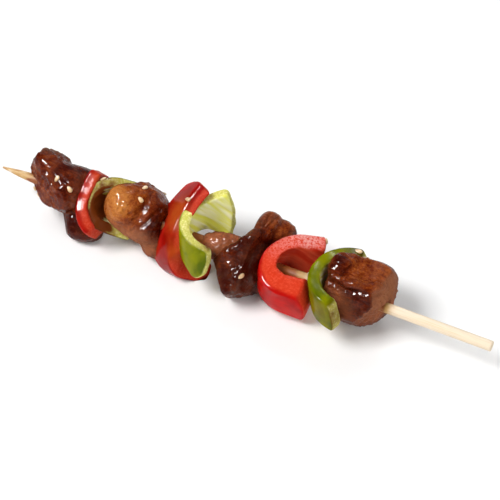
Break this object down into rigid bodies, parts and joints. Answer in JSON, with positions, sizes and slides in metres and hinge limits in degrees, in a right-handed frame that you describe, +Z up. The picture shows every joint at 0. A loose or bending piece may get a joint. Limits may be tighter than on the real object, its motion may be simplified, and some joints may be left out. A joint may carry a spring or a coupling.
{
  "type": "chicken kebab skewer",
  "caption": "Grilled chicken kebab: chunks of glazed chicken and pieces of red and green bell pepper threaded on a pointed bamboo skewer.",
  "frame": {"origin": "centre of the bounding box at the surface the kebab lies on", "axes": "+X along the skewer, from its point to its blunt end; +Z up"},
  "size_m": [0.2, 0.0348, 0.0307],
  "materials": {
    "bamboo": "pale split bamboo, scorched at the point",
    "chicken": null,
    "red_pepper": null,
    "green_pepper": null
  },
  "bodies": {
    "root": {"skewer": "bamboo", "chicken_1": "chicken", "chicken_2": "chicken", "chicken_3": "chicken", "chicken_4": "chicken", "red_pepper_1": "red_pepper", "red_pepper_2": "red_pepper", "red_pepper_3": "red_pepper", "green_pepper_1": "green_pepper", "green_pepper_2": "green_pepper", "green_pepper_3": "green_pepper"}
  },
  "joints": []
}
